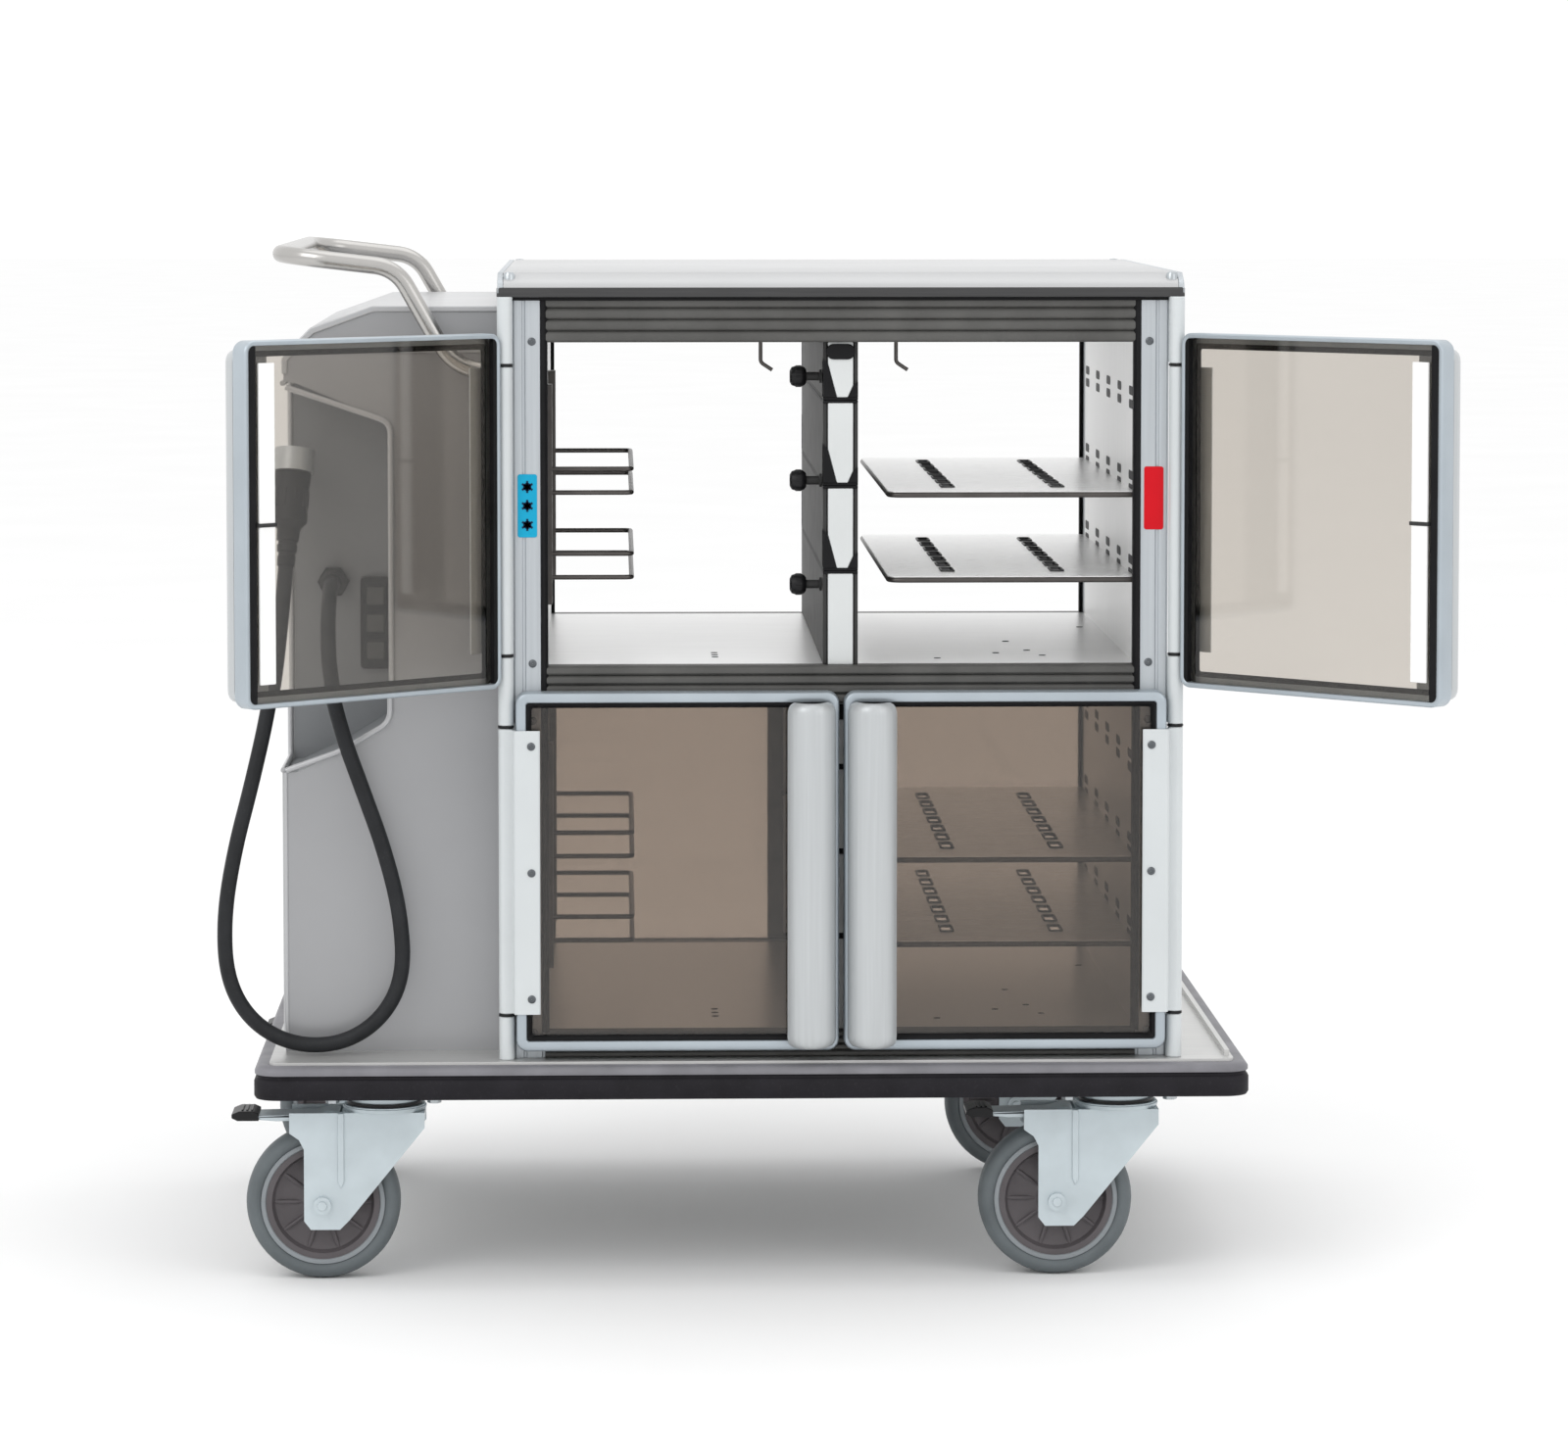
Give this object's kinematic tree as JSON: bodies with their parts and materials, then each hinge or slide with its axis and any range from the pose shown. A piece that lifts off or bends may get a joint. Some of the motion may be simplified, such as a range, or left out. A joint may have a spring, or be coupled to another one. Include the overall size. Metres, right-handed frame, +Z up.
{
  "type": "mobile tray cart",
  "caption": "Wheeled tray cart: glazed double-sided cabinet with cold and hot compartments, machine casing, push handle and mains lead on braked swivel casters.",
  "frame": {"origin": "centre of the bottom of the resting box without the lead, on the floor", "axes": "+X to the right seen from the front (machine casing on the left), +Y from front to rear, +Z up"},
  "size_m": [1.25, 1.2921, 1.073],
  "materials": {
    "chassis_paint": "matt",
    "stainless": "brushed",
    "bumper_rubber": "matt",
    "post_aluminium": "satin",
    "dark_plastic": "matt",
    "roof_white": "satin",
    "insulation": "satin",
    "divider_grey": "matt",
    "seal_black": "matt",
    "knob_black": "satin",
    "shelf_steel": "brushed",
    "wire_steel": "polished",
    "hinge_white": "satin",
    "label_colour": "satin",
    "screw_steel": "turned",
    "casing_grey": "satin",
    "niche_grey": "satin",
    "inlet_dark": "satin",
    "gland_black": "satin",
    "cable_black": "matt",
    "plug_black": "satin",
    "dock_plastic": "satin",
    "compressor_black": "satin",
    "fin_aluminium": "milled",
    "fan_plastic": "matt",
    "heater_steel": "mill",
    "handle_steel": "satin",
    "zinc": "bright zinc plate",
    "tyre_grey": "matt",
    "pedal_zinc": "bright zinc plate",
    "door_aluminium": "satin",
    "tinted_glass": "grey-brown tint"
  },
  "bodies": {
    "root": {"chassis_frame": "chassis_paint", "deck_plate": "stainless", "bumper": "bumper_rubber", "corner_posts": "post_aluminium", "side_walls": "stainless", "cross_rails": "dark_plastic", "liner_panels": "stainless", "roof_panel": "roof_white", "divider_blocks": "insulation", "divider_skins": "divider_grey", "divider_seals": "seal_black", "thumb_screws": "knob_black", "shelves": "shelf_steel", "wire_brackets": "wire_steel", "hinge_columns": "hinge_white", "zone_labels": "label_colour", "post_screws": "screw_steel", "machine_casing": "casing_grey", "cable_niche": "niche_grey", "inlet_plate": "inlet_dark", "cable_gland": "gland_black", "power_cable": "cable_black", "plug": "plug_black", "plug_dock": "dock_plastic", "compressor": "compressor_black", "condenser": "fin_aluminium", "heater_module": "heater_steel", "push_handle": "handle_steel", "caster_plates": "zinc"},
    "swivel_front_left": {"fork_front_left": "zinc"},
    "roller_front_left": {"wheel_front_left": "tyre_grey"},
    "pedal_front_left": {"brake_pedal_front_left": "pedal_zinc"},
    "swivel_front_right": {"fork_front_right": "zinc"},
    "roller_front_right": {"wheel_front_right": "tyre_grey"},
    "pedal_front_right": {"brake_pedal_front_right": "pedal_zinc"},
    "swivel_rear_left": {"fork_rear_left": "zinc"},
    "roller_rear_left": {"wheel_rear_left": "tyre_grey"},
    "pedal_rear_left": {"brake_pedal_rear_left": "pedal_zinc"},
    "swivel_rear_right": {"fork_rear_right": "zinc"},
    "roller_rear_right": {"wheel_rear_right": "tyre_grey"},
    "pedal_rear_right": {"brake_pedal_rear_right": "pedal_zinc"},
    "leaf_front_upper_left": {"door_front_upper_left": "door_aluminium", "glass_front_upper_left": "tinted_glass"},
    "leaf_front_upper_right": {"door_front_upper_right": "door_aluminium", "glass_front_upper_right": "tinted_glass"},
    "leaf_front_lower_left": {"door_front_lower_left": "door_aluminium", "glass_front_lower_left": "tinted_glass"},
    "leaf_front_lower_right": {"door_front_lower_right": "door_aluminium", "glass_front_lower_right": "tinted_glass"},
    "leaf_rear_upper_left": {"door_rear_upper_left": "door_aluminium", "glass_rear_upper_left": "tinted_glass"},
    "leaf_rear_upper_right": {"door_rear_upper_right": "door_aluminium", "glass_rear_upper_right": "tinted_glass"},
    "leaf_rear_lower_left": {"door_rear_lower_left": "door_aluminium", "glass_rear_lower_left": "tinted_glass"},
    "leaf_rear_lower_right": {"door_rear_lower_right": "door_aluminium", "glass_rear_lower_right": "tinted_glass"},
    "condenser_fan": {"fan_rotor": "fan_plastic"}
  },
  "joints": [
    {"name": "swivel_turn_front_left", "type": "hinge", "parent": "root", "child": "swivel_front_left", "pos_m": [-0.46, -0.348, 0.176], "axis": [0, 0, 1], "continuous": true},
    {"name": "wheel_roll_front_left", "type": "hinge", "parent": "swivel_front_left", "child": "roller_front_left", "pos_m": [-0.524, -0.348, 0.08], "axis": [0, 1, 0], "continuous": true},
    {"name": "brake_press_front_left", "type": "hinge", "parent": "swivel_front_left", "child": "pedal_front_left", "pos_m": [-0.512, -0.348, 0.171], "axis": [0, -1, 0], "range_deg": [0, 10]},
    {"name": "swivel_turn_front_right", "type": "hinge", "parent": "root", "child": "swivel_front_right", "pos_m": [0.302, -0.348, 0.176], "axis": [0, 0, 1], "continuous": true},
    {"name": "wheel_roll_front_right", "type": "hinge", "parent": "swivel_front_right", "child": "roller_front_right", "pos_m": [0.238, -0.348, 0.08], "axis": [0, 1, 0], "continuous": true},
    {"name": "brake_press_front_right", "type": "hinge", "parent": "swivel_front_right", "child": "pedal_front_right", "pos_m": [0.25, -0.348, 0.171], "axis": [0, -1, 0], "range_deg": [0, 10]},
    {"name": "swivel_turn_rear_left", "type": "hinge", "parent": "root", "child": "swivel_rear_left", "pos_m": [-0.46, 0.252, 0.176], "axis": [0, 0, 1], "continuous": true},
    {"name": "wheel_roll_rear_left", "type": "hinge", "parent": "swivel_rear_left", "child": "roller_rear_left", "pos_m": [-0.524, 0.252, 0.08], "axis": [0, 1, 0], "continuous": true},
    {"name": "brake_press_rear_left", "type": "hinge", "parent": "swivel_rear_left", "child": "pedal_rear_left", "pos_m": [-0.512, 0.252, 0.171], "axis": [0, -1, 0], "range_deg": [0, 10]},
    {"name": "swivel_turn_rear_right", "type": "hinge", "parent": "root", "child": "swivel_rear_right", "pos_m": [0.302, 0.252, 0.176], "axis": [0, 0, 1], "continuous": true},
    {"name": "wheel_roll_rear_right", "type": "hinge", "parent": "swivel_rear_right", "child": "roller_rear_right", "pos_m": [0.238, 0.252, 0.08], "axis": [0, 1, 0], "continuous": true},
    {"name": "brake_press_rear_right", "type": "hinge", "parent": "swivel_rear_right", "child": "pedal_rear_right", "pos_m": [0.25, 0.252, 0.171], "axis": [0, -1, 0], "range_deg": [0, 10]},
    {"name": "door_open_front_upper_left", "type": "hinge", "parent": "root", "child": "leaf_front_upper_left", "pos_m": [-0.332, -0.4, 0.802], "axis": [0, 0, -1], "range_deg": [-138, 22]},
    {"name": "door_open_front_upper_right", "type": "hinge", "parent": "root", "child": "leaf_front_upper_right", "pos_m": [0.357, -0.4, 0.802], "axis": [0, 0, 1], "range_deg": [-135, 80]},
    {"name": "door_open_front_lower_left", "type": "hinge", "parent": "root", "child": "leaf_front_lower_left", "pos_m": [-0.332, -0.4, 0.4305], "axis": [0, 0, -1], "range_deg": [0, 160]},
    {"name": "door_open_front_lower_right", "type": "hinge", "parent": "root", "child": "leaf_front_lower_right", "pos_m": [0.357, -0.4, 0.4305], "axis": [0, 0, 1], "range_deg": [0, 215]},
    {"name": "door_open_rear_upper_left", "type": "hinge", "parent": "root", "child": "leaf_rear_upper_left", "pos_m": [-0.332, 0.304, 0.802], "axis": [0, 0, 1], "range_deg": [-92, 68]},
    {"name": "door_open_rear_upper_right", "type": "hinge", "parent": "root", "child": "leaf_rear_upper_right", "pos_m": [0.357, 0.304, 0.802], "axis": [0, 0, -1], "range_deg": [-92, 123]},
    {"name": "door_open_rear_lower_left", "type": "hinge", "parent": "root", "child": "leaf_rear_lower_left", "pos_m": [-0.332, 0.304, 0.4305], "axis": [0, 0, 1], "range_deg": [0, 160]},
    {"name": "door_open_rear_lower_right", "type": "hinge", "parent": "root", "child": "leaf_rear_lower_right", "pos_m": [0.357, 0.304, 0.4305], "axis": [0, 0, -1], "range_deg": [0, 215]},
    {"name": "fan_spin", "type": "hinge", "parent": "root", "child": "condenser_fan", "pos_m": [-0.449, 0.185, 0.4], "axis": [0, 1, 0], "continuous": true}
  ]
}
